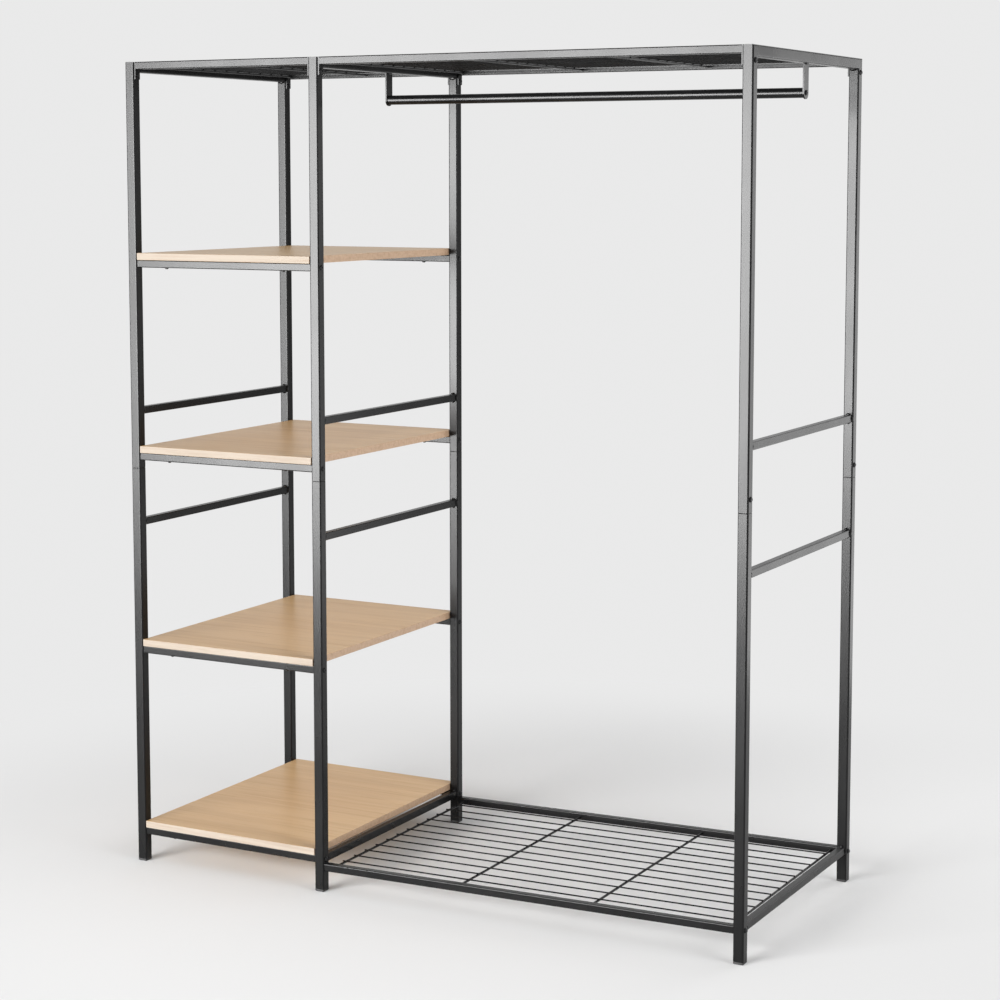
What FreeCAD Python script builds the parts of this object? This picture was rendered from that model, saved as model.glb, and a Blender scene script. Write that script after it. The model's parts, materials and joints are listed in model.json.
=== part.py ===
import FreeCAD, Part
import math
import os
import Sketcher
from collections import namedtuple

# Open frame wardrobe: three welded ladder frames of black square tube, four
# boards on rails in the left bay, wire shelves on top and at the foot of the
# right bay, and a hanging rod. Millimetres, +Z up, front towards -Y, origin
# on the floor under the middle of the frame.

SIZES = [
    ("left_bay", 442, "clear width between the left and middle posts"),
    ("right_bay", 930, "clear width between the middle and right posts"),
    ("clear_depth", 562, "clear depth between front and back posts"),
    ("height", 1750, "floor to the top of the frame"),
    ("post_size", 22, "outside of the square post tube"),
    ("post_wall", 1.2, "wall of the post tube"),
    ("post_radius", 3.0, "outer corner radius of the post tube"),
    ("rail_size", 16, "outside of the square rail tube"),
    ("rail_wall", 1.0, "wall of the rail tube"),
    ("rail_radius", 2.0, "outer corner radius of the rail tube"),
    ("least_radius", 0.2, "smallest inner corner radius of a tube"),
    ("slip_fit", 0.2, "gap on each side of a plug or spigot in its tube"),
    ("upper_rung_height", 1001, "floor to the middle of the upper rungs"),
    ("lower_rung_height", 757, "floor to the middle of the lower rungs"),
    ("base_rail_height", 69, "floor to the middle of the base rails"),
    ("board_thickness", 15, "thickness of the boards"),
    ("board_play", 1.0, "gap between a board's end and the posts"),
    ("board_radius", 0.8, "rounding of the boards' edges"),
    ("bottom_board_top", 92, "floor to the top of the bottom board"),
    ("lower_board_top", 499, "floor to the top of the lower board"),
    ("upper_board_top", 925, "floor to the top of the upper board"),
    ("top_board_top", 1343, "floor to the top of the top board"),
    ("seam_chamfer", 0.8, "chamfer round the post ends at the seam"),
    ("joint_bolt_rise", 26, "from the post seam up to its bolt"),
    ("spigot_below", 50, "spigot length below the post seam"),
    ("spigot_above_bolt", 24, "spigot length above the joint bolt"),
    ("spigot_wall", 1.5, "wall of the spigot tube"),
    ("base_shelf_mid_height", 53, "floor to the base shelf's bolts in the middle posts"),
    ("base_shelf_right_height", 66.5, "floor to the base shelf's bolts in the right posts"),
    ("tab_thickness", 3, "thickness of the tabs under the top shelves' rails"),
    ("tab_bolt_drop", 29, "top of the frame down to the tabs' bolts"),
    ("tab_margin", 8, "tab length below its bolt"),
    ("cross_wire_size", 5, "diameter of the cross wires"),
    ("cross_wire_drop", 10, "rail top down to the middle of the cross wires"),
    ("cross_wire_inset", 15, "from a post's face to the end cross wires"),
    ("long_wire_size", 3, "diameter of the long wires"),
    ("long_wire_inset", 38, "from a rail's inner face to the first long wire"),
    ("long_wire_overhang", 2, "long wire length past the end cross wires"),
    ("rod_size", 20, "outside of the hanging rod"),
    ("rod_wall", 1.2, "wall of the hanging rod"),
    ("rod_drop", 79.5, "top of the frame down to the middle of the rod"),
    ("bracket_width", 25, "width of the rod brackets"),
    ("bracket_thickness", 3, "thickness of the rod brackets"),
    ("bolt_size", 6, "diameter of the bolts' shanks"),
    ("bolt_play", 0.4, "hole diameter over the bolt's shank"),
    ("thread_play", 0.1, "threaded bore over the bolt's shank"),
    ("bolt_head_size", 11, "diameter of the bolts' heads"),
    ("bolt_head_height", 3, "height of the bolts' heads"),
    ("bolt_rim", 1, "height of the bolt head's straight rim"),
    ("bolt_crown_size", 7, "diameter of the flat on the bolt head"),
    ("socket_size", 4, "bolt socket, across its corners"),
    ("socket_depth", 1.6, "depth of the bolt socket"),
    ("rail_bolt_grip", 14, "bolt length inside a rail's plug"),
    ("tab_bolt_end", 2, "bolt length past the last tab"),
    ("short_bolt_length", 16, "shank of the rod and joint bolts"),
    ("plug_length", 18, "length of the threaded plugs"),
    ("screw_inset", 72, "from a rail's end to its board screw"),
    ("screw_size", 4, "diameter of the board screws' shanks"),
    ("screw_grip", 10, "screw length inside the board"),
    ("screw_head_size", 8.5, "diameter of the board screws' heads"),
    ("screw_head_height", 2.6, "height of the board screws' heads"),
    ("screw_rim", 0.8, "height of the screw head's straight rim"),
    ("screw_crown_size", 5, "diameter of the flat on the screw head"),
    ("foot_height", 5, "thickness of the foot below the post"),
    ("foot_chamfer", 1.6, "chamfer round the foot's sole"),
    ("foot_plug", 18, "length of the foot's plug inside the post"),
]

LONG_WIRE_COUNT = 12
LEFT_CROSS_WIRE_COUNT = 3
RIGHT_CROSS_WIRE_COUNT = 4
SQUARE_SIDES = 4
HEX_SIDES = 6
QUARTER_TURN = math.pi / 2

doc = FreeCAD.newDocument("open_frame_wardrobe")
sheet = doc.addObject("Spreadsheet::Sheet", "sizes")
for row, (alias, value, meaning) in enumerate(SIZES, start=1):
    sheet.set(f"A{row}", alias)
    sheet.set(f"B{row}", str(value))
    sheet.set(f"C{row}", meaning)
    sheet.setAlias(f"B{row}", alias)
doc.recompute()

# Places worked out from the sizes, as expressions
SIDE_X = {
    "left": "(-sizes.post_size - (sizes.left_bay + sizes.right_bay) / 2)",
    "mid": "((sizes.left_bay - sizes.right_bay) / 2)",
    "right": "(sizes.post_size + (sizes.left_bay + sizes.right_bay) / 2)",
}
FACE_Y = {
    "front": "(-(sizes.clear_depth + sizes.post_size) / 2)",
    "back": "((sizes.clear_depth + sizes.post_size) / 2)",
}
FULL_DEPTH = "(sizes.clear_depth + 2 * sizes.post_size)"
BOARD_TOPS = {
    "bottom": "sizes.bottom_board_top",
    "lower": "sizes.lower_board_top",
    "upper": "sizes.upper_board_top",
    "top": "sizes.top_board_top",
}


def board_rail_height(level):
    return f"({BOARD_TOPS[level]} - sizes.board_thickness - sizes.rail_size / 2)"


JOINT_HEIGHT = board_rail_height("upper")
SEAM_HEIGHT = f"({JOINT_HEIGHT} - sizes.joint_bolt_rise)"
LEVELS_BY_HALF = {"lower": ["bottom", "lower"], "upper": ["upper", "top"]}
TAB_BOLT_HEIGHT = "(sizes.height - sizes.tab_bolt_drop)"
BASE_BOLT_HEIGHTS = {
    "mid": "sizes.base_shelf_mid_height",
    "right": "sizes.base_shelf_right_height",
}
ROD_HEIGHT = "(sizes.height - sizes.rod_drop)"
POST_BORE = "(sizes.post_size - 2 * sizes.post_wall)"
RAIL_BORE = "(sizes.rail_size - 2 * sizes.rail_wall)"
POST_BORE_RADIUS = "max(sizes.post_radius - sizes.post_wall; sizes.least_radius)"
RAIL_BORE_RADIUS = "max(sizes.rail_radius - sizes.rail_wall; sizes.least_radius)"
BOLT_HOLE = "(sizes.bolt_size + sizes.bolt_play)"
THREAD_BORE = "(sizes.bolt_size + sizes.thread_play)"
SCREW_HOLE = "(sizes.screw_size + sizes.bolt_play)"
PILOT_HOLE = "(sizes.screw_size + sizes.thread_play)"

# Turns that lay a piece made along Z into the frame
UPRIGHT = FreeCAD.Rotation()
ALONG_X = FreeCAD.Rotation(FreeCAD.Vector(0, 1, 0), 90)
AGAINST_X = FreeCAD.Rotation(FreeCAD.Vector(0, 1, 0), -90)
ALONG_Y = FreeCAD.Rotation(FreeCAD.Vector(1, 0, 0), -90)
HEAD_DOWN = FreeCAD.Rotation(FreeCAD.Vector(1, 0, 0), 180)

nodes = []


def number(expression):
    return float(sheet.evalExpression(expression))


def place(piece, turn, x="0", y="0", z="0"):
    piece.Placement = FreeCAD.Placement(FreeCAD.Vector(), turn)
    for axis, expression in zip("xyz", (x, y, z)):
        piece.setExpression(f"Placement.Base.{axis}", expression)
    return piece


def node(piece, label):
    piece.Label = label
    nodes.append(piece)
    return piece


# Sketch helpers
def sketch_on(body, plane, name):
    sketch = body.newObject("Sketcher::SketchObject", name)
    origin = [part for part in body.Origin.OriginFeatures if part.Role == plane][0]
    sketch.AttachmentSupport = [(origin, "")]
    sketch.MapMode = "FlatFace"
    return sketch


def dimension(sketch, expression, kind, *where):
    index = sketch.addConstraint(Sketcher.Constraint(kind, *where, number(expression)))
    sketch.setExpression(f"Constraints[{index}]", expression)


def offset(sketch, geometry, point, axis, sign, expression):
    # Distance of a point from the sketch's origin, on the side that sign says
    kind = "DistanceX" if axis == "x" else "DistanceY"
    if sign > 0:
        dimension(sketch, expression, kind, -1, 1, geometry, point)
    else:
        dimension(sketch, expression, kind, geometry, point, -1, 1)


def circle(sketch, size):
    middle = FreeCAD.Vector()
    up = FreeCAD.Vector(0, 0, 1)
    index = sketch.addGeometry(Part.Circle(middle, up, number(size) / 2))
    sketch.addConstraint(Sketcher.Constraint("Coincident", index, 3, -1, 1))
    dimension(sketch, size, "Diameter", index)


def polygon(sketch, corners):
    points = [FreeCAD.Vector(x, y, 0) for x, y in corners]
    lines = []
    for start, end in zip(points, points[1:] + points[:1]):
        lines.append(sketch.addGeometry(Part.LineSegment(start, end)))
    for line, following in zip(lines, lines[1:] + lines[:1]):
        sketch.addConstraint(Sketcher.Constraint("Coincident", line, 2, following, 1))
    return lines


def rectangle(sketch, width, depth):
    half_width = number(width) / 2
    half_depth = number(depth) / 2
    corners = [
        (-half_width, -half_depth),
        (half_width, -half_depth),
        (half_width, half_depth),
        (-half_width, half_depth),
    ]
    lines = polygon(sketch, corners)
    for line, kind in zip(lines, ("Horizontal", "Vertical", "Horizontal", "Vertical")):
        sketch.addConstraint(Sketcher.Constraint(kind, line))
    sketch.addConstraint(Sketcher.Constraint("Symmetric", lines[0], 1, lines[2], 1, -1, 1))
    dimension(sketch, width, "DistanceX", lines[0], 1, lines[0], 2)
    dimension(sketch, depth, "DistanceY", lines[1], 1, lines[1], 2)


def rounded_square(sketch, size, radius):
    half = number(size) / 2
    bend = number(radius)
    inset = half - bend
    up = FreeCAD.Vector(0, 0, 1)
    sides = []
    corners = []
    for turn in range(SQUARE_SIDES):
        rotation = FreeCAD.Rotation(up, math.degrees(QUARTER_TURN * turn))
        start = rotation.multVec(FreeCAD.Vector(-inset, -half, 0))
        end = rotation.multVec(FreeCAD.Vector(inset, -half, 0))
        middle = rotation.multVec(FreeCAD.Vector(inset, -inset, 0))
        sides.append(sketch.addGeometry(Part.LineSegment(start, end)))
        bend_end = turn * QUARTER_TURN
        arc = Part.ArcOfCircle(Part.Circle(middle, up, bend), bend_end - QUARTER_TURN, bend_end)
        corners.append(sketch.addGeometry(arc))
    for turn in range(SQUARE_SIDES):
        following = sides[(turn + 1) % SQUARE_SIDES]
        sketch.addConstraint(Sketcher.Constraint("Tangent", sides[turn], 2, corners[turn], 1))
        sketch.addConstraint(Sketcher.Constraint("Tangent", corners[turn], 2, following, 1))
    for side, kind in zip(sides, ("Horizontal", "Vertical", "Horizontal", "Vertical")):
        sketch.addConstraint(Sketcher.Constraint(kind, side))
    for corner in corners[1:]:
        sketch.addConstraint(Sketcher.Constraint("Equal", corners[0], corner))
    sketch.addConstraint(Sketcher.Constraint("Symmetric", corners[0], 3, corners[2], 3, -1, 1))
    dimension(sketch, radius, "Radius", corners[0])
    dimension(sketch, size, "DistanceX", sides[3], 1, sides[1], 1)
    dimension(sketch, size, "DistanceY", sides[0], 1, sides[2], 1)


# Body helpers
def extrude(body, name, outlines, length):
    profile = sketch_on(body, "XY_Plane", name + "_profile")
    for draw, *sizes in outlines:
        draw(profile, *sizes)
    pad = body.newObject("PartDesign::Pad", name + "_pad")
    pad.Profile = profile
    pad.setExpression("Length", length)
    return pad


def extrusion(name, outlines, length):
    body = doc.addObject("PartDesign::Body", name)
    extrude(body, name, outlines, length)
    return body


def post_tube(name, length):
    outline = (rounded_square, "sizes.post_size", "sizes.post_radius")
    bore = (rounded_square, POST_BORE, POST_BORE_RADIUS)
    return extrusion(name, [outline, bore], length)


def rail_tube(name, length):
    outline = (rounded_square, "sizes.rail_size", "sizes.rail_radius")
    bore = (rounded_square, RAIL_BORE, RAIL_BORE_RADIUS)
    return extrusion(name, [outline, bore], length)


def cut_through(body, sketch, name):
    doc.recompute()
    before = body.Shape.Volume
    pocket = body.newObject("PartDesign::Pocket", name)
    pocket.Profile = sketch
    pocket.Type = "ThroughAll"
    pocket.SideType = "Symmetric"
    doc.recompute()
    if body.Shape.Volume >= before:
        raise RuntimeError(f"{name} cuts nothing")


def cross_holes(body, heights, size):
    # Round holes right through a tube along its local X, at heights along its length
    name = body.Name + "_holes"
    sketch = sketch_on(body, "YZ_Plane", name + "_places")
    up = FreeCAD.Vector(0, 0, 1)
    for height in heights:
        middle = FreeCAD.Vector(0, number(height), 0)
        index = sketch.addGeometry(Part.Circle(middle, up, number(size) / 2))
        sketch.addConstraint(Sketcher.Constraint("PointOnObject", index, 3, -2))
        offset(sketch, index, 3, "y", 1, height)
        dimension(sketch, size, "Diameter", index)
    cut_through(body, sketch, name)


def mitre(body, name, end, side, way):
    # Cuts one end of a post tube at 45 degrees; side is the short side's sign on
    # local Y, and way says whether the end points up or down the tube
    sketch = sketch_on(body, "YZ_Plane", name + "_triangle")
    post = number("sizes.post_size")
    across = f"({end} * {way} + sizes.post_size / 2)"
    x = side * post
    y = way * number(across)
    lines = polygon(sketch, [(x, y), (-x, y), (x, y - way * 2 * post)])
    sketch.addConstraint(Sketcher.Constraint("Horizontal", lines[0]))
    sketch.addConstraint(Sketcher.Constraint("Vertical", lines[2]))
    sketch.addConstraint(Sketcher.Constraint("Equal", lines[0], lines[2]))
    offset(sketch, lines[0], 1, "x", side, "sizes.post_size")
    offset(sketch, lines[0], 2, "x", -side, "sizes.post_size")
    offset(sketch, lines[0], 1, "y", way, across)
    cut_through(body, sketch, name)


def cylinder(name, size, length):
    piece = doc.addObject("Part::Cylinder", name)
    piece.setExpression("Radius", f"{size} / 2")
    piece.setExpression("Height", length)
    return piece


def box(name, length, width, height):
    piece = doc.addObject("Part::Box", name)
    piece.setExpression("Length", length)
    piece.setExpression("Width", width)
    piece.setExpression("Height", height)
    return piece


def cut(name, base, tool):
    piece = doc.addObject("Part::Cut", name)
    piece.Base = base
    piece.Tool = tool
    return piece


def fuse(name, pieces):
    piece = doc.addObject("Part::MultiFuse", name)
    piece.Shapes = pieces
    piece.Refine = True
    return piece


def copy_of(model, name, turn, x, y, z):
    link = doc.addObject("App::Link", name)
    link.LinkedObject = model
    return place(link, turn, x, y, z)


def group(label, pieces):
    compound = doc.addObject("Part::Compound", label)
    compound.Links = pieces
    return node(compound, label)


# Ladder frames: posts in two halves, top and base rails, rungs
def post_holes(side, half):
    heights = []
    if side != "right":
        heights += [board_rail_height(level) for level in LEVELS_BY_HALF[half]]
    elif half == "upper":
        heights.append(JOINT_HEIGHT)
    if half == "upper":
        heights.append(TAB_BOLT_HEIGHT)
    elif side in BASE_BOLT_HEIGHTS:
        heights.append(BASE_BOLT_HEIGHTS[side])
    return heights


def chamfer_seam(body, half):
    # Breaks the outer edges of a post half where it meets the other half
    doc.recompute()
    tube = body.Tip
    shape = tube.Shape
    pick = max if half == "lower" else min
    seam = pick(shape.Faces, key=lambda face: face.CenterOfMass.z)
    edges = []
    for count, edge in enumerate(shape.Edges, start=1):
        if any(edge.isSame(outer) for outer in seam.OuterWire.Edges):
            edges.append(f"Edge{count}")
    chamfer = body.newObject("PartDesign::Chamfer", body.Name + "_chamfer")
    chamfer.Base = (tube, edges)
    chamfer.setExpression("Size", "sizes.seam_chamfer")


def make_post(side, face, half):
    label = f"{side}_{face}_{half}_post"
    start, end = {
        "lower": ("sizes.foot_height", SEAM_HEIGHT),
        "upper": (SEAM_HEIGHT, "sizes.height"),
    }[half]
    length = f"({end} - {start})"
    body = post_tube(label, length)
    chamfer_seam(body, half)
    if half == "upper":
        inner_side = 1 if face == "front" else -1
        mitre(body, label + "_mitre", length, inner_side, 1)
    heights = post_holes(side, half)
    if heights:
        cross_holes(body, [f"({height} - {start})" for height in heights], BOLT_HOLE)
    node(place(body, UPRIGHT, SIDE_X[side], FACE_Y[face], start), label)


def make_top_rail(side):
    label = f"{side}_top_rail"
    body = post_tube(label, FULL_DEPTH)
    mitre(body, label + "_front_mitre", "0", 1, -1)
    mitre(body, label + "_back_mitre", FULL_DEPTH, 1, 1)
    start = f"(-{FULL_DEPTH} / 2)"
    node(place(body, ALONG_Y, SIDE_X[side], start, "sizes.height - sizes.post_size / 2"), label)


def make_rung(side, label, height):
    body = rail_tube(label, "sizes.clear_depth")
    node(place(body, ALONG_Y, SIDE_X[side], "-sizes.clear_depth / 2", height), label)


def make_foot(side, face):
    label = f"{side}_{face}_foot"
    sole = (rounded_square, "sizes.post_size", "sizes.post_radius")
    plug_size = f"({POST_BORE} - 2 * sizes.slip_fit)"
    plug = (rounded_square, plug_size, POST_BORE_RADIUS)
    body = doc.addObject("PartDesign::Body", label)
    extrude(body, label + "_sole", [sole], "sizes.foot_height")
    top = extrude(body, label + "_plug", [plug], "sizes.foot_height + sizes.foot_plug")
    doc.recompute()
    faces = enumerate(body.Shape.Faces, start=1)
    lowest = min(faces, key=lambda face: face[1].CenterOfMass.z)[0]
    chamfer = body.newObject("PartDesign::Chamfer", label + "_chamfer")
    chamfer.Base = (top, [f"Face{lowest}"])
    chamfer.setExpression("Size", "sizes.foot_chamfer")
    node(place(body, UPRIGHT, SIDE_X[side], FACE_Y[face]), label)


for side in SIDE_X:
    for face in FACE_Y:
        make_post(side, face, "lower")
        make_post(side, face, "upper")
        make_foot(side, face)
    make_top_rail(side)
    make_rung(side, f"{side}_upper_rung", "sizes.upper_rung_height")
    make_rung(side, f"{side}_lower_rung", "sizes.lower_rung_height")
    make_rung(side, f"{side}_base_rail", "sizes.base_rail_height")


# Spigots that join the post halves
def make_spigots():
    outline = (rounded_square, f"({POST_BORE} - 2 * sizes.slip_fit)", POST_BORE_RADIUS)
    bore_size = f"({POST_BORE} - 2 * sizes.slip_fit - 2 * sizes.spigot_wall)"
    bore = (rounded_square, bore_size, "sizes.least_radius")
    length = "(sizes.spigot_below + sizes.joint_bolt_rise + sizes.spigot_above_bolt)"
    model = extrusion("spigot_model", [outline, bore], length)
    cross_holes(model, ["(sizes.spigot_below + sizes.joint_bolt_rise)"], THREAD_BORE)
    start = f"{SEAM_HEIGHT} - sizes.spigot_below"
    pieces = []
    for side, x in SIDE_X.items():
        for face, y in FACE_Y.items():
            pieces.append(copy_of(model, f"{side}_{face}_spigot", UPRIGHT, x, y, start))
    group("post_spigots", pieces)


make_spigots()

# Left bay: boards on pairs of rails
LEFT_BAY_START = f"({SIDE_X['left']} + sizes.post_size / 2)"
LEFT_BAY_END = f"({SIDE_X['mid']} - sizes.post_size / 2)"
RIGHT_BAY_START = f"({SIDE_X['mid']} + sizes.post_size / 2)"
RIGHT_BAY_END = f"({SIDE_X['right']} - sizes.post_size / 2)"
SCREW_PLACES = ["sizes.screw_inset", "(sizes.left_bay - sizes.screw_inset)"]


def make_board_rail(level, face):
    label = f"{level}_board_{face}_rail"
    body = rail_tube(label, "sizes.left_bay")
    cross_holes(body, SCREW_PLACES, SCREW_HOLE)
    node(place(body, ALONG_X, LEFT_BAY_START, FACE_Y[face], board_rail_height(level)), label)


def make_board(level):
    label = f"{level}_board"
    body = doc.addObject("PartDesign::Body", label)
    width = "(sizes.left_bay - 2 * sizes.board_play)"
    pad = extrude(body, label, [(rectangle, width, FULL_DEPTH)], "sizes.board_thickness")
    doc.recompute()
    fillet = body.newObject("PartDesign::Fillet", label + "_edges")
    fillet.Base = (pad, [f"Edge{count}" for count in range(1, len(pad.Shape.Edges) + 1)])
    fillet.setExpression("Radius", "sizes.board_radius")
    doc.recompute()
    before = body.Shape.Volume
    sketch = sketch_on(body, "XY_Plane", label + "_pilots")
    up = FreeCAD.Vector(0, 0, 1)
    across = "(sizes.left_bay / 2 - sizes.screw_inset)"
    along = FACE_Y["back"]
    for sign_x in (-1, 1):
        for sign_y in (-1, 1):
            middle = FreeCAD.Vector(sign_x * number(across), sign_y * number(along), 0)
            index = sketch.addGeometry(Part.Circle(middle, up, number(PILOT_HOLE) / 2))
            offset(sketch, index, 3, "x", sign_x, across)
            offset(sketch, index, 3, "y", sign_y, along)
            dimension(sketch, PILOT_HOLE, "Diameter", index)
    pilots = body.newObject("PartDesign::Pocket", label + "_pilot_holes")
    pilots.Profile = sketch
    pilots.Reversed = True
    pilots.setExpression("Length", "sizes.screw_grip + sizes.thread_play")
    doc.recompute()
    if body.Shape.Volume >= before:
        raise RuntimeError(f"{label} has no pilot holes")
    middle_x = f"({LEFT_BAY_START} + {LEFT_BAY_END}) / 2"
    underside = f"{BOARD_TOPS[level]} - sizes.board_thickness"
    node(place(body, UPRIGHT, middle_x, "0", underside), label)


for level in BOARD_TOPS:
    make_board(level)
    for face in FACE_Y:
        make_board_rail(level, face)

# Wire shelves: two rails and a wire mat each. The top shelves hang on tabs. The
# base shelf's rails are bolted at their ends, and slope down to the middle
# posts, where the bottom board's bolt heads sit just above them.
TOP_SHELF_HEIGHT = "(sizes.height - sizes.rail_size / 2)"
BASE_RISE = "(sizes.base_shelf_right_height - sizes.base_shelf_mid_height)"
BASE_SLOPE = f"({BASE_RISE} / (sizes.right_bay - sizes.plug_length))"
BASE_SHELF_START = f"(sizes.base_shelf_mid_height - {BASE_SLOPE} * sizes.plug_length / 2)"
BASE_END_GAP = f"(sizes.rail_size * abs({BASE_SLOPE}))"

# Height is that of the rails' middle at the start of the bay
Shelf = namedtuple("Shelf", "start bay height slope end_gap cross_count")
LEFT_TOP_SHELF = Shelf(
    LEFT_BAY_START, "sizes.left_bay", TOP_SHELF_HEIGHT, "0", "sizes.tab_thickness", LEFT_CROSS_WIRE_COUNT
)
RIGHT_TOP_SHELF = Shelf(
    RIGHT_BAY_START, "sizes.right_bay", TOP_SHELF_HEIGHT, "0", "sizes.tab_thickness", RIGHT_CROSS_WIRE_COUNT
)
BASE_SHELF = Shelf(
    RIGHT_BAY_START, "sizes.right_bay", BASE_SHELF_START, BASE_SLOPE, BASE_END_GAP, RIGHT_CROSS_WIRE_COUNT
)
SHELVES = {
    "left_top_shelf": LEFT_TOP_SHELF,
    "right_top_shelf": RIGHT_TOP_SHELF,
    "base_shelf": BASE_SHELF,
}


def share(first, last, index, count):
    return f"({first} + ({last} - {first}) * {index} / {count - 1})"


def shelf_height(shelf, inset):
    return f"({shelf.height} + {shelf.slope} * {inset})"


def lay_along(piece, shelf, inset, y, rise):
    # Lays a piece made along Z down the shelf's slope, rise above the rails' middle
    place(piece, ALONG_X, f"{shelf.start} + {inset}", y, f"{shelf_height(shelf, inset)} + {rise}")
    piece.setExpression("Placement.Rotation.Angle", f"90 deg - atan({shelf.slope})")
    return piece


def make_shelf_rail(name, shelf, face):
    label = f"{name}_{face}_rail"
    body = rail_tube(label, f"({shelf.bay} - 2 * {shelf.end_gap})")
    node(lay_along(body, shelf, shelf.end_gap, FACE_Y[face], "0"), label)


def make_wires(name, shelf):
    span = "(sizes.clear_depth + sizes.post_size - sizes.rail_size)"
    last_cross = f"({shelf.bay} - sizes.cross_wire_inset)"
    cross_rise = "(sizes.rail_size / 2 - sizes.cross_wire_drop)"
    pieces = []
    for index in range(shelf.cross_count):
        wire = cylinder(f"{name}_cross_wire", "sizes.cross_wire_size", span)
        inset = share("sizes.cross_wire_inset", last_cross, index, shelf.cross_count)
        height = f"{shelf_height(shelf, inset)} + {cross_rise}"
        pieces.append(place(wire, ALONG_Y, f"{shelf.start} + {inset}", f"-{span} / 2", height))
    first_long = f"(sizes.long_wire_inset - {span} / 2)"
    last_long = f"({span} / 2 - sizes.long_wire_inset)"
    long_inset = "(sizes.cross_wire_inset - sizes.long_wire_overhang)"
    long_length = f"({shelf.bay} - 2 * {long_inset})"
    long_rise = f"({cross_rise} + (sizes.cross_wire_size + sizes.long_wire_size) / 2)"
    for index in range(LONG_WIRE_COUNT):
        wire = cylinder(f"{name}_long_wire", "sizes.long_wire_size", long_length)
        y = share(first_long, last_long, index, LONG_WIRE_COUNT)
        pieces.append(lay_along(wire, shelf, long_inset, y, long_rise))
    group(f"{name}_wires", pieces)


def make_tabs():
    # Plates across the ends of the top shelves' rails, hanging down the posts' faces
    length = "(sizes.tab_bolt_drop + sizes.tab_margin)"
    plate = box("tab_plate", "sizes.tab_thickness", "sizes.rail_size", length)
    place(plate, UPRIGHT, "0", "-sizes.rail_size / 2", f"-{length}")
    hole = cylinder("tab_hole", BOLT_HOLE, "sizes.tab_thickness")
    place(hole, ALONG_X, "0", "0", "-sizes.tab_bolt_drop")
    model = cut("tab_model", plate, hole)
    pieces = []
    for shelf in (LEFT_TOP_SHELF, RIGHT_TOP_SHELF):
        for y in FACE_Y.values():
            for x in (shelf.start, f"{shelf.start} + {shelf.bay} - sizes.tab_thickness"):
                pieces.append(copy_of(model, "rail_tab", UPRIGHT, x, y, "sizes.height"))
    group("rail_tabs", pieces)


for name, shelf in SHELVES.items():
    for face in FACE_Y:
        make_shelf_rail(name, shelf, face)
    make_wires(name, shelf)
make_tabs()

# Hanging rod on two brackets under the top rails
ROD_START = f"({SIDE_X['mid']} + sizes.bracket_thickness / 2)"
ROD_END = f"({SIDE_X['right']} - sizes.bracket_thickness / 2)"
ROD_BORE = "(sizes.rod_size - 2 * sizes.rod_wall)"


def make_bracket(side):
    label = f"{side}_rod_bracket"
    drop = "(sizes.rod_drop - sizes.post_size)"
    half_width = "(sizes.bracket_width / 2)"
    strap = box(label + "_strap", "sizes.bracket_thickness", "sizes.bracket_width", drop)
    place(strap, UPRIGHT, "0", f"-{half_width}", "0")
    end = cylinder(label + "_end", "sizes.bracket_width", "sizes.bracket_thickness")
    place(end, ALONG_X)
    hole = cylinder(label + "_hole", BOLT_HOLE, "sizes.bracket_thickness")
    place(hole, ALONG_X)
    plate = fuse(label + "_plate", [strap, end])
    body = cut(label, plate, hole)
    x = f"{SIDE_X[side]} - sizes.bracket_thickness / 2"
    node(place(body, UPRIGHT, x, "0", ROD_HEIGHT), label)


def make_rod():
    outlines = [(circle, "sizes.rod_size"), (circle, ROD_BORE)]
    rod = extrusion("hanging_rod", outlines, f"({ROD_END} - {ROD_START})")
    node(place(rod, ALONG_X, ROD_START, "0", ROD_HEIGHT), "hanging_rod")
    plug_size = f"({ROD_BORE} - 2 * sizes.slip_fit)"
    plug = extrusion("rod_plug_model", [(circle, plug_size), (circle, THREAD_BORE)], "sizes.plug_length")
    starts = [ROD_START, f"{ROD_END} - sizes.plug_length"]
    pieces = [copy_of(plug, "rod_plug", ALONG_X, x, "0", ROD_HEIGHT) for x in starts]
    group("rod_end_plugs", pieces)


make_bracket("mid")
make_bracket("right")
make_rod()


# Fasteners
def make_rail_plugs():
    outline = (rounded_square, f"({RAIL_BORE} - 2 * sizes.slip_fit)", RAIL_BORE_RADIUS)
    model = extrusion("rail_plug_model", [outline, (circle, THREAD_BORE)], "sizes.plug_length")
    places = []
    for level in BOARD_TOPS:
        height = board_rail_height(level)
        places.append((LEFT_BAY_START, height))
        places.append((f"{LEFT_BAY_END} - sizes.plug_length", height))
    places.append((RIGHT_BAY_START, BASE_BOLT_HEIGHTS["mid"]))
    places.append((f"{RIGHT_BAY_END} - sizes.plug_length", BASE_BOLT_HEIGHTS["right"]))
    pieces = []
    for x, height in places:
        for y in FACE_Y.values():
            pieces.append(copy_of(model, "rail_plug", ALONG_X, x, y, height))
    group("rail_end_plugs", pieces)


def headed(name, shank, size, rim, height, crown):
    # Shank below zero and a domed head above it
    stem = cylinder(name + "_shank", size[0], shank)
    place(stem, UPRIGHT, "0", "0", f"-{shank}")
    edge = cylinder(name + "_rim", size[1], rim)
    dome = doc.addObject("Part::Cone", name + "_dome")
    dome.setExpression("Radius1", f"{size[1]} / 2")
    dome.setExpression("Radius2", f"{crown} / 2")
    dome.setExpression("Height", f"{height} - {rim}")
    place(dome, UPRIGHT, "0", "0", rim)
    return fuse(name + "_blank", [stem, edge, dome])


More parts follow.
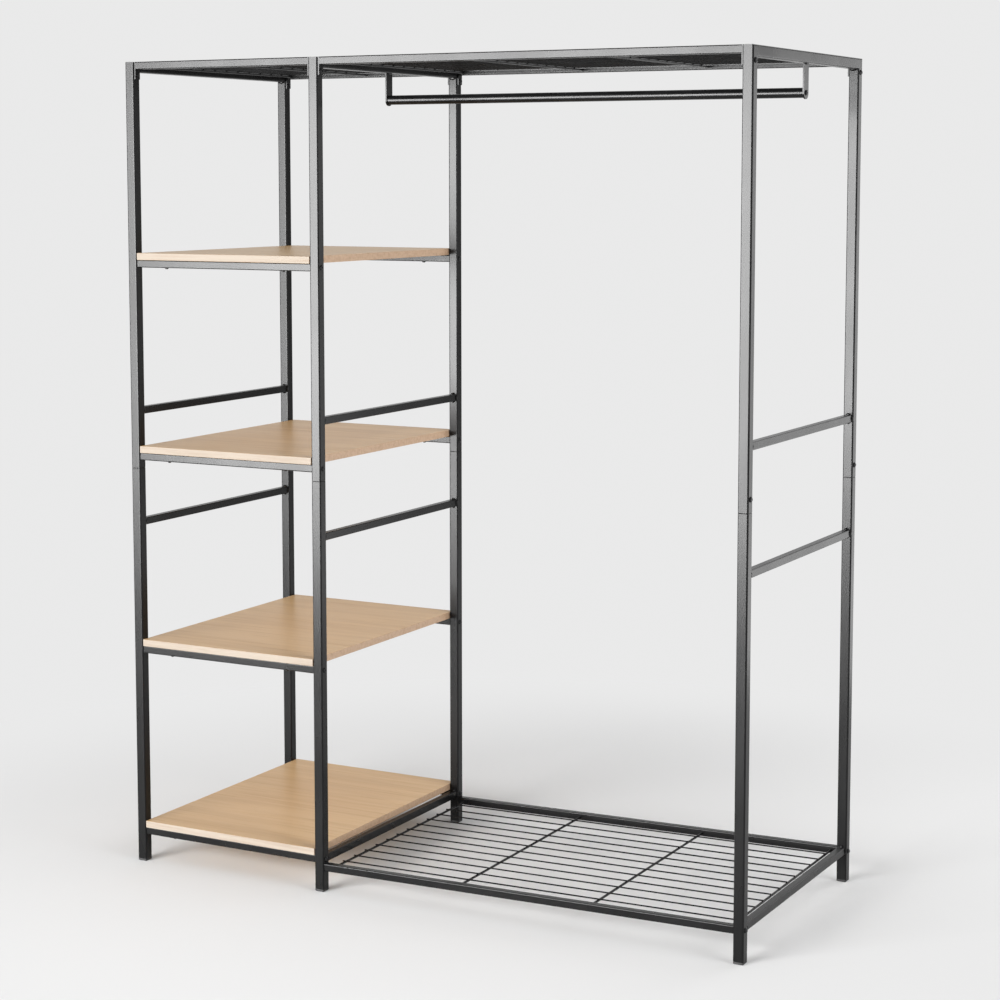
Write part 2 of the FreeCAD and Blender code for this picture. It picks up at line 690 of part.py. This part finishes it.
def bolt_model(name, shank):
    size = ("sizes.bolt_size", "sizes.bolt_head_size")
    blank = headed(name, shank, size, "sizes.bolt_rim", "sizes.bolt_head_height", "sizes.bolt_crown_size")
    socket = doc.addObject("Part::Prism", name + "_socket")
    socket.Polygon = HEX_SIDES
    socket.setExpression("Circumradius", "sizes.socket_size / 2")
    socket.setExpression("Height", "sizes.socket_depth")
    place(socket, UPRIGHT, "0", "0", "sizes.bolt_head_height - sizes.socket_depth")
    return cut(name, blank, socket)


def make_bolts():
    rail_bolt = bolt_model("rail_bolt_model", "(sizes.post_size + sizes.rail_bolt_grip)")
    tab_length = "(sizes.post_size + sizes.tab_thickness + sizes.tab_bolt_end)"
    tab_bolt = bolt_model("tab_bolt_model", tab_length)
    pair_bolt = bolt_model("pair_bolt_model", f"({tab_length} + sizes.tab_thickness)")
    short_bolt = bolt_model("short_bolt_model", "sizes.short_bolt_length")
    left_face = f"{SIDE_X['left']} - sizes.post_size / 2"
    right_face = f"{SIDE_X['right']} + sizes.post_size / 2"
    tab_face = f"{RIGHT_BAY_START} + sizes.tab_thickness"
    pieces = []
    for face, y in FACE_Y.items():
        for level in BOARD_TOPS:
            height = board_rail_height(level)
            name = f"{level}_{face}_bolt"
            pieces.append(copy_of(rail_bolt, name, AGAINST_X, left_face, y, height))
            pieces.append(copy_of(rail_bolt, name, ALONG_X, RIGHT_BAY_START, y, height))
        name = f"base_shelf_{face}_bolt"
        pieces.append(copy_of(rail_bolt, name, AGAINST_X, LEFT_BAY_END, y, BASE_BOLT_HEIGHTS["mid"]))
        pieces.append(copy_of(rail_bolt, name, ALONG_X, right_face, y, BASE_BOLT_HEIGHTS["right"]))
        name = f"{face}_tab_bolt"
        pieces.append(copy_of(tab_bolt, name, AGAINST_X, left_face, y, TAB_BOLT_HEIGHT))
        pieces.append(copy_of(pair_bolt, name, ALONG_X, tab_face, y, TAB_BOLT_HEIGHT))
        pieces.append(copy_of(tab_bolt, name, ALONG_X, right_face, y, TAB_BOLT_HEIGHT))
        pieces.append(copy_of(short_bolt, f"{face}_joint_bolt", ALONG_X, right_face, y, JOINT_HEIGHT))
    rod_left = f"{ROD_START} - sizes.bracket_thickness"
    rod_right = f"{ROD_END} + sizes.bracket_thickness"
    pieces.append(copy_of(short_bolt, "mid_rod_bolt", AGAINST_X, rod_left, "0", ROD_HEIGHT))
    pieces.append(copy_of(short_bolt, "right_rod_bolt", ALONG_X, rod_right, "0", ROD_HEIGHT))
    group("frame_bolts", pieces)


def make_board_screws():
    size = ("sizes.screw_size", "sizes.screw_head_size")
    shank = "(sizes.rail_size + sizes.screw_grip)"
    head = ("sizes.screw_rim", "sizes.screw_head_height", "sizes.screw_crown_size")
    model = headed("board_screw_model", shank, size, *head)
    pieces = []
    for level, top in BOARD_TOPS.items():
        height = f"{top} - sizes.board_thickness - sizes.rail_size"
        for face, y in FACE_Y.items():
            for inset in SCREW_PLACES:
                x = f"{LEFT_BAY_START} + {inset}"
                pieces.append(copy_of(model, f"{level}_{face}_screw", HEAD_DOWN, x, y, height))
    group("board_screws", pieces)


make_rail_plugs()
make_bolts()
make_board_screws()

# Check the whole document, then write one file for each sub-part
doc.recompute()
for item in doc.Objects:
    if "Invalid" in item.State or "Error" in item.State:
        raise RuntimeError(f"{item.Label} did not recompute: {item.State}")
os.makedirs("parts", exist_ok=True)
for item in nodes:
    if item.Shape.isNull() or not item.Shape.isValid() or not item.Shape.Solids:
        raise RuntimeError(f"{item.Label} has no sound solid")
for item in nodes:
    item.Shape.exportStep(f"parts/{item.Label}.step")
print(f"{len(nodes)} sub-parts written")
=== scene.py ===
import bmesh
import bpy
import json
import math
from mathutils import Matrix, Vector, noise as lumps


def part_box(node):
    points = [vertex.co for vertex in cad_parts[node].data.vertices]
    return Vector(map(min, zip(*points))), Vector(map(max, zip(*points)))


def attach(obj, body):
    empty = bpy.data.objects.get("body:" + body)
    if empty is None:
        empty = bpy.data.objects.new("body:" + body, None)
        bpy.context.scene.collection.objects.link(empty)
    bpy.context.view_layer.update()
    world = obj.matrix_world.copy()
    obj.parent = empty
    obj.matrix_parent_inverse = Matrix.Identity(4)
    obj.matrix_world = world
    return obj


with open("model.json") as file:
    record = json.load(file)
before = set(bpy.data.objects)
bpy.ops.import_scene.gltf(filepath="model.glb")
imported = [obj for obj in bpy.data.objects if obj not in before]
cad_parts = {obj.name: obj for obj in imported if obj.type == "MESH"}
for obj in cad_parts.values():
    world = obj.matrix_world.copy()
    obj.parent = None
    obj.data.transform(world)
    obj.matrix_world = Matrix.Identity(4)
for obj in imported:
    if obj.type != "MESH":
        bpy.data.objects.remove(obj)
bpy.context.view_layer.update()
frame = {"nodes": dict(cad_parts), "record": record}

# Open frame wardrobe in black powder-coated tube with light oak boards. Metres,
# +Z up, front towards -Y.

MILLIMETRE = 0.001

# Camera, matched to the photograph: turn and tilt in degrees, lens in millimetres
CAMERA_PLACE = (2.295, -4.242, 1.51)
CAMERA_TURN = 28.12
CAMERA_TILT = 5.92
CAMERA_LEVEL = 90.0
CAMERA_LENS = 81.6
CAMERA_SHIFT = -0.09

# Backdrop, which darkens into a ceiling between two heights on the dome, and even fill
BACKDROP_GREY = 0.82
CEILING_GREY = 0.16
CEILING_RANGE = (0.25, 0.9)
FILL_GREY = 0.44

# Floor, which fades into the backdrop between two distances from its middle
FLOOR_GREY = 0.76
FLOOR_GLOSS = 0.2
FLOOR_RADIUS = 14.0
FLOOR_SIDES = 96
FADE_RANGE = (0.4, 1.9)

# Flag: a panel that darkens what the right side mirrors
FLAG_PLACE = (2.5, 4.2, 1.2)
FLAG_AIM = (-0.4, 0.0, 1.2)
FLAG_SIZE = 3.2
FLAG_GREY = 0.30
MATT_ROUGHNESS = 0.9

# Lamps
KEY_PLACE = (-2.2, -6.4, 2.25)
KEY_AIM = (-0.3, 0.0, 0.7)
KEY_SIZE = (4.0, 2.4)
KEY_POWER = 326.0
FLOOR_KEY_POWER = 717.0
SIDE_PLACE = (6.0, -1.0, 3.6)
SIDE_AIM = (-0.3, 0.0, 0.5)
SIDE_SIZE = (3.4, 3.0)
SIDE_POWER = 312.0
FLOOR_SIDE_POWER = 162.0
CARD_PLACE = (-1.75, -4.1, 1.17)
CARD_AIM = (0.0, 0.0, 1.17)
CARD_SIZE = (3.1, 2.22)
CARD_POWER = 780.0
CARD_SPARES = ("_board", "_rung", "_base_rail", "_top_rail", "_wires")
RIM_PLACE = (1.42, 1.5, 1.0)
RIM_AIM = (0.7, 0.0, 1.0)
RIM_SIZE = (0.9, 1.75)
RIM_POWER = 10.0

# Weld beads: half sizes of one bead on each joint, how uneven they are, and the
# step in the noise that makes each bead differ
BEAD_SIDE = (0.0034, 0.0036, 0.0066)
BEAD_FLAT = (0.0046, 0.0036, 0.0036)
BEAD_CORNER = (0.0090, 0.0042, 0.0042)
BEAD_BRACKET = (0.0026, 0.0085, 0.0030)
BEAD_DETAIL = 3
BEAD_LUMP = 0.25
BEAD_LUMP_SCALE = 1.7
BEAD_LUMP_STEP = 100.0

# The rod brackets that are welded to each ladder frame
LADDER_BRACKETS = {"left": [], "mid": ["mid_rod_bracket"], "right": ["right_rod_bracket"]}

# Colours, linear
PAINT_BLACK = (0.004, 0.004, 0.0042, 1.0)
PAINT_WORN = (0.016, 0.016, 0.017, 1.0)
PLASTIC_BLACK = (0.012, 0.012, 0.012, 1.0)
STEEL_BLACK = (0.028, 0.028, 0.030, 1.0)
ZINC_GREY = (0.42, 0.43, 0.44, 1.0)
OAK_LIGHT = (0.68, 0.455, 0.236, 1.0)
OAK_MID = (0.61, 0.392, 0.192, 1.0)
OAK_DARK = (0.455, 0.268, 0.119, 1.0)
BAND_LIGHT = (0.675, 0.58, 0.48, 1.0)
BAND_DARK = (0.60, 0.485, 0.385, 1.0)
# Board ends: painted shade, darker than the oak top and the pale bands
SHADED_END_LIGHT = (0.46, 0.315, 0.21, 1.0)
SHADED_END_DARK = (0.38, 0.25, 0.16, 1.0)

# Noise patterns: scale on X, Y and Z, then detail, roughness and distortion
RUB_NOISE = ((14, 14, 5), 4.0, 0.5, 0.0)
CLOUD_NOISE = ((9, 9, 4), 3.0, 0.5, 0.0)
COAT_NOISE = ((420, 420, 420), 2.0, 0.5, 0.0)
PLASTIC_NOISE = ((900, 900, 900), 2.0, 0.5, 0.0)
SCUFF_NOISE = ((60, 60, 60), 4.0, 0.5, 0.0)
STAIN_NOISE = ((300, 300, 300), 4.0, 0.5, 0.0)
OXIDE_NOISE = ((1500, 1500, 1500), 2.0, 0.5, 0.0)
SPANGLE_NOISE = ((180, 180, 180), 3.0, 0.5, 0.0)
RING_NOISE = ((1.6, 26, 26), 4.0, 0.55, 0.6)
STREAK_NOISE = ((5, 150, 150), 5.0, 0.6, 0.3)
PORE_NOISE = ((40, 900, 900), 2.0, 0.5, 0.0)

# Values between which a pattern or a turn of the surface takes effect
FULL_RANGE = (0.0, 1.0)
MIDDLE_RANGE = (0.3, 0.7)
BEND_RANGE = (0.97, 0.78)
RUB_RANGE = (0.45, 0.75)
SCUFF_RANGE = (0.4, 0.7)
RING_RANGE = (0.32, 0.68)
STREAK_RANGE = (0.52, 0.78)
PORE_RANGE = (0.60, 0.74)
PATCH_RANGE = (0.4, 0.7)
SHEEN_RANGE = (0.3, 0.8)
END_RANGE = (0.55, 0.75)
EDGE_RANGE = (0.75, 0.55)

# Least and most of a pattern that shows
RUB_SHARE = (0.1, 1.0)
STREAK_SHARE = (0.0, 0.55)
PORE_SHARE = (0.0, 0.35)

# Roughness at both ends of a pattern
COAT_ROUGHNESS = (0.25, 0.30)
PLASTIC_ROUGHNESS = (0.45, 0.6)
OXIDE_ROUGHNESS = (0.28, 0.42)
ZINC_ROUGHNESS = (0.3, 0.45)
OAK_ROUGHNESS = (0.32, 0.42)

# Gloss, and how metallic the bare metals are
COAT_GLOSS = 0.21
OAK_GLOSS = 0.3
OXIDE_METAL = 0.5
ZINC_METAL = 1.0

# Bumps: strength and height
COAT_BUMP = (0.010, 0.4 * MILLIMETRE)
PLASTIC_BUMP = (0.25, 0.2 * MILLIMETRE)
OXIDE_BUMP = (0.1, 0.1 * MILLIMETRE)
OAK_BUMP = (0.06, 0.15 * MILLIMETRE)


# Node helpers
def new_material(name):
    material = bpy.data.materials.new(name)
    material.use_nodes = True
    tree = material.node_tree
    shader = tree.nodes["Principled BSDF"]
    return material, tree, shader


def add(tree, kind, **settings):
    item = tree.nodes.new(kind)
    for key, value in settings.items():
        setattr(item, key, value)
    return item


def link(tree, source, target):
    tree.links.new(source, target)


def set_values(item, **values):
    for key, value in values.items():
        item.inputs[key.replace("_", " ")].default_value = value


def feed(tree, value, socket):
    # A constant is set on the socket, and another node's output is linked to it
    if isinstance(value, (int, float, tuple)):
        socket.default_value = value
    else:
        link(tree, value, socket)


def grey(value):
    return (value, value, value, 1.0)


def placed(tree, scale):
    # Object coordinates, stretched by a scale on each axis
    place = add(tree, "ShaderNodeTexCoord")
    mapping = add(tree, "ShaderNodeMapping")
    set_values(mapping, Scale=scale)
    link(tree, place.outputs["Object"], mapping.inputs["Vector"])
    return mapping.outputs["Vector"]


def noise(tree, scale, detail, roughness, distortion):
    item = add(tree, "ShaderNodeTexNoise")
    set_values(item, Scale=1.0, Detail=detail, Roughness=roughness, Distortion=distortion)
    link(tree, placed(tree, scale), item.inputs["Vector"])
    return item.outputs["Fac"]


def spread(tree, source, within, onto=FULL_RANGE):
    # Eases from the first value of one range to the second, onto another range
    item = add(tree, "ShaderNodeMapRange", interpolation_type="SMOOTHSTEP")
    set_values(item, From_Min=within[0], From_Max=within[1], To_Min=onto[0], To_Max=onto[1])
    link(tree, source, item.inputs["Value"])
    return item.outputs["Result"]


def sums(tree, operation, first, second):
    item = add(tree, "ShaderNodeMath", operation=operation)
    for value, socket in zip((first, second), item.inputs):
        feed(tree, value, socket)
    return item.outputs["Value"]


def mixed(tree, factor, first, second):
    item = add(tree, "ShaderNodeMix", data_type="RGBA")
    for key, value in (("Factor", factor), ("A", first), ("B", second)):
        feed(tree, value, item.inputs[key])
    return item.outputs["Result"]


def blended(tree, factor, first, second):
    item = add(tree, "ShaderNodeMixShader")
    for source, socket in zip((factor, first, second), item.inputs):
        link(tree, source, socket)
    return item.outputs["Shader"]


def bump(tree, shader, height, strength, distance):
    item = add(tree, "ShaderNodeBump")
    set_values(item, Strength=strength, Distance=distance)
    link(tree, height, item.inputs["Height"])
    link(tree, item.outputs["Normal"], shader.inputs["Normal"])


def facing(tree):
    # Size of the surface normal along each axis
    geometry = add(tree, "ShaderNodeNewGeometry")
    parts = add(tree, "ShaderNodeSeparateXYZ")
    link(tree, geometry.outputs["Normal"], parts.inputs["Vector"])
    return {axis: sums(tree, "ABSOLUTE", parts.outputs[axis], 0.0) for axis in "XYZ"}


# Materials
def powder_coat(name):
    # Rubbed a little paler where the tube bends round its edges
    material, tree, shader = new_material(name)
    turned = facing(tree)
    flattest = sums(tree, "MAXIMUM", sums(tree, "MAXIMUM", turned["X"], turned["Y"]), turned["Z"])
    bend = spread(tree, flattest, BEND_RANGE)
    rubbed = spread(tree, noise(tree, *RUB_NOISE), RUB_RANGE, RUB_SHARE)
    wear = sums(tree, "MULTIPLY", bend, rubbed)
    link(tree, mixed(tree, wear, PAINT_BLACK, PAINT_WORN), shader.inputs["Base Color"])
    cloud = noise(tree, *CLOUD_NOISE)
    link(tree, spread(tree, cloud, MIDDLE_RANGE, COAT_ROUGHNESS), shader.inputs["Roughness"])
    set_values(shader, Specular_IOR_Level=COAT_GLOSS)
    bump(tree, shader, noise(tree, *COAT_NOISE), *COAT_BUMP)
    return material


def moulded_plastic():
    material, tree, shader = new_material("moulded_plastic")
    grain = noise(tree, *PLASTIC_NOISE)
    scuffed = spread(tree, noise(tree, *SCUFF_NOISE), SCUFF_RANGE)
    link(tree, mixed(tree, scuffed, PLASTIC_BLACK, PAINT_WORN), shader.inputs["Base Color"])
    link(tree, spread(tree, scuffed, FULL_RANGE, PLASTIC_ROUGHNESS), shader.inputs["Roughness"])
    bump(tree, shader, grain, *PLASTIC_BUMP)
    return material


def black_oxide():
    material, tree, shader = new_material("black_oxide")
    stain = noise(tree, *STAIN_NOISE)
    link(tree, mixed(tree, stain, PAINT_BLACK, STEEL_BLACK), shader.inputs["Base Color"])
    link(tree, spread(tree, stain, MIDDLE_RANGE, OXIDE_ROUGHNESS), shader.inputs["Roughness"])
    set_values(shader, Metallic=OXIDE_METAL)
    bump(tree, shader, noise(tree, *OXIDE_NOISE), *OXIDE_BUMP)
    return material


def zinc_plate():
    material, tree, shader = new_material("zinc_plate")
    spangle = noise(tree, *SPANGLE_NOISE)
    link(tree, mixed(tree, spangle, ZINC_GREY, STEEL_BLACK), shader.inputs["Base Color"])
    link(tree, spread(tree, spangle, MIDDLE_RANGE, ZINC_ROUGHNESS), shader.inputs["Roughness"])
    set_values(shader, Metallic=ZINC_METAL)
    return material


def oak_laminate():
    material, tree, shader = new_material("oak_laminate")
    # Broad rings of early and late wood along the board, fine streaks and short pores
    rings = noise(tree, *RING_NOISE)
    streaks = noise(tree, *STREAK_NOISE)
    pores = noise(tree, *PORE_NOISE)
    tone = mixed(tree, spread(tree, rings, RING_RANGE), OAK_LIGHT, OAK_MID)
    tone = mixed(tree, spread(tree, streaks, STREAK_RANGE, STREAK_SHARE), tone, OAK_DARK)
    tone = mixed(tree, spread(tree, pores, PORE_RANGE, PORE_SHARE), tone, OAK_DARK)
    # Pale bands along the front and back edges, and ends painted darker than the top: painted shade on the
    # end faces
    patch = spread(tree, streaks, PATCH_RANGE)
    turned = facing(tree)
    on_end = spread(tree, turned["X"], END_RANGE)
    on_edge = spread(tree, turned["Z"], EDGE_RANGE)
    pale = mixed(tree, patch, BAND_LIGHT, BAND_DARK)
    # Painted shade on the end faces
    painted_end_shade = mixed(tree, patch, SHADED_END_LIGHT, SHADED_END_DARK)
    edge = mixed(tree, on_end, pale, painted_end_shade)
    link(tree, mixed(tree, on_edge, tone, edge), shader.inputs["Base Color"])
    link(tree, spread(tree, streaks, SHEEN_RANGE, OAK_ROUGHNESS), shader.inputs["Roughness"])
    set_values(shader, Specular_IOR_Level=OAK_GLOSS)
    bump(tree, shader, sums(tree, "ADD", pores, streaks), *OAK_BUMP)
    return material


def dress_nodes():
    looks = {
        "frame_paint": powder_coat("powder_coat"),
        "wire_paint": powder_coat("powder_coat_wire"),
        "board": oak_laminate(),
        "foot": moulded_plastic(),
        "fastener": black_oxide(),
        "inner_steel": zinc_plate(),
    }
    for part in frame["record"]["subparts"]:
        mesh = frame["nodes"][part["node"]].data
        mesh.materials.clear()
        mesh.materials.append(looks[part["material_slot"]])
    return looks


# Weld beads where the rungs, base rails, mitred corners and rod brackets meet the tubes
def add_bead(mesh, place, half_size):
    ball = bmesh.ops.create_icosphere(mesh, subdivisions=BEAD_DETAIL, radius=1.0)["verts"]
    for point in ball:
        swell = 1.0 + BEAD_LUMP * lumps.noise(point.co * BEAD_LUMP_SCALE + BEAD_LUMP_STEP * place)
        point.co = place + swell * point.co * Vector(half_size)


def bead_places(side):
    for node in (side + "_upper_rung", side + "_lower_rung", side + "_base_rail"):
        low, high = (Vector(corner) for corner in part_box(node))
        middle = (low + high) / 2
        for end in (low.y, high.y):
            for x in (low.x, high.x):
                yield Vector((x, end, middle.z)), BEAD_SIDE
            for z in (low.z, high.z):
                yield Vector((middle.x, end, z)), BEAD_FLAT
    low, high = (Vector(corner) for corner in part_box(side + "_upper_rung"))
    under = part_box(side + "_top_rail")[0][2]
    for end in (low.y, high.y):
        yield Vector(((low.x + high.x) / 2, end, under)), BEAD_CORNER


def bracket_bead_places(node):
    low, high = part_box(node)
    for x in (low[0], high[0]):
        yield Vector((x, 0.0, high[2])), BEAD_BRACKET


def add_beads(side, brackets, material):
    mesh = bmesh.new()
    for place, half_size in bead_places(side):
        add_bead(mesh, place, half_size)
    for node in brackets:
        for place, half_size in bracket_bead_places(node):
            add_bead(mesh, place, half_size)
    for face in mesh.faces:
        face.smooth = True
    data = bpy.data.meshes.new(side + "_weld_beads")
    mesh.to_mesh(data)
    mesh.free()
    data.materials.append(material)
    piece = bpy.data.objects.new(side + "_weld_beads", data)
    bpy.context.scene.collection.objects.link(piece)
    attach(piece, "root")


# Studio
def aimed(item, place, aim):
    item.location = place
    away = item.location - Vector(aim)
    item.rotation_euler = away.to_track_quat("Z", "Y").to_euler()


def add_world():
    # The backdrop that is seen, also in gloss, and a softer even fill for the rest
    world = bpy.data.worlds.new("studio")
    bpy.context.scene.world = world
    world.use_nodes = True
    tree = world.node_tree
    place = add(tree, "ShaderNodeTexCoord")
    parts = add(tree, "ShaderNodeSeparateXYZ")
    link(tree, place.outputs["Generated"], parts.inputs["Vector"])
    tone = spread(tree, parts.outputs["Z"], CEILING_RANGE, (BACKDROP_GREY, CEILING_GREY))
    seen = tree.nodes["Background"]
    link(tree, tone, seen.inputs["Color"])
    fill = add(tree, "ShaderNodeBackground")
    set_values(fill, Color=grey(FILL_GREY))
    path = add(tree, "ShaderNodeLightPath")
    gloss = sums(tree, "MAXIMUM", path.outputs["Is Glossy Ray"], path.outputs["Is Transmission Ray"])
    direct = sums(tree, "MAXIMUM", path.outputs["Is Camera Ray"], gloss)
    surface = blended(tree, direct, fill.outputs["Background"], seen.outputs["Background"])
    link(tree, surface, tree.nodes["World Output"].inputs["Surface"])


def add_flag():
    # Dark panel behind the right side, which only gloss sees
    bpy.ops.mesh.primitive_plane_add(size=FLAG_SIZE)
    flag = bpy.context.object
    flag.name = "flag"
    material, tree, shader = new_material("flag")
    set_values(shader, Base_Color=grey(FLAG_GREY), Roughness=MATT_ROUGHNESS, Specular_IOR_Level=0.0)
    flag.data.materials.append(material)
    aimed(flag, FLAG_PLACE, FLAG_AIM)
    flag.visible_camera = False
    flag.visible_diffuse = False
    flag.visible_shadow = False


def add_floor():
    bpy.ops.mesh.primitive_circle_add(vertices=FLOOR_SIDES, radius=FLOOR_RADIUS, fill_type="NGON")
    floor = bpy.context.object
    floor.name = "floor"
    material, tree, shader = new_material("floor")
    set_values(shader, Base_Color=grey(FLOOR_GREY), Roughness=MATT_ROUGHNESS, Specular_IOR_Level=FLOOR_GLOSS)
    glow = add(tree, "ShaderNodeEmission")
    set_values(glow, Color=grey(BACKDROP_GREY), Strength=1.0)
    place = add(tree, "ShaderNodeTexCoord")
    length = add(tree, "ShaderNodeVectorMath", operation="LENGTH")
    link(tree, place.outputs["Object"], length.inputs["Vector"])
    fade = spread(tree, length.outputs["Value"], FADE_RANGE)
    surface = blended(tree, fade, shader.outputs["BSDF"], glow.outputs["Emission"])
    link(tree, surface, tree.nodes["Material Output"].inputs["Surface"])
    floor.data.materials.append(material)
    return floor


def add_light(name, place, aim, size, power, in_gloss=True, in_diffuse=True):
    light = bpy.data.lights.new(name, "AREA")
    light.shape = "RECTANGLE"
    light.size, light.size_y = size
    light.energy = power
    lamp = bpy.data.objects.new(name, light)
    lamp.visible_glossy = in_gloss
    lamp.visible_diffuse = in_diffuse
    aimed(lamp, place, aim)
    bpy.context.scene.collection.objects.link(lamp)
    return lamp


def pick(lamp, pieces, state):
    # The lamp lights only these pieces (INCLUDE) or all but these (EXCLUDE)
    picked = bpy.data.collections.new(lamp.name + "_picked")
    for piece in pieces:
        picked.objects.link(piece)
    for member in picked.collection_objects:
        member.light_linking.link_state = state
    lamp.light_linking.receiver_collection = picked


def add_lights(floor):
    # The floor has a pair of its own: as strong a front lamp would burn out the boards' edges
    pairs = (
        ("key", KEY_PLACE, KEY_AIM, KEY_SIZE, KEY_POWER, "EXCLUDE"),
        ("floor_key", KEY_PLACE, KEY_AIM, KEY_SIZE, FLOOR_KEY_POWER, "INCLUDE"),
        ("side", SIDE_PLACE, SIDE_AIM, SIDE_SIZE, SIDE_POWER, "EXCLUDE"),
        ("floor_side", SIDE_PLACE, SIDE_AIM, SIDE_SIZE, FLOOR_SIDE_POWER, "INCLUDE"),
    )
    for name, place, aim, size, power, state in pairs:
        lamp = add_light(name, place, aim, size, power, in_gloss=False)
        pick(lamp, [floor], state)
    # The card only gives a sheen. It spares the boards, the wires and the bars that run
    # front to back, which would glare from behind
    card = add_light("card", CARD_PLACE, CARD_AIM, CARD_SIZE, CARD_POWER, in_diffuse=False)
    spared = [piece for name, piece in frame["nodes"].items() if name.endswith(CARD_SPARES)]
    pick(card, spared, "EXCLUDE")
    add_light("rim", RIM_PLACE, RIM_AIM, RIM_SIZE, RIM_POWER)


def add_camera():
    data = bpy.data.cameras.new("camera")
    data.lens = CAMERA_LENS
    data.shift_y = CAMERA_SHIFT
    camera = bpy.data.objects.new("camera", data)
    camera.location = CAMERA_PLACE
    camera.rotation_euler = (math.radians(CAMERA_LEVEL - CAMERA_TILT), 0, math.radians(CAMERA_TURN))
    bpy.context.scene.collection.objects.link(camera)
    bpy.context.scene.camera = camera


looks = dress_nodes()
for side, brackets in LADDER_BRACKETS.items():
    add_beads(side, brackets, looks["frame_paint"])
add_world()
add_flag()
add_lights(add_floor())
add_camera()
bpy.context.scene.view_settings.view_transform = "Standard"
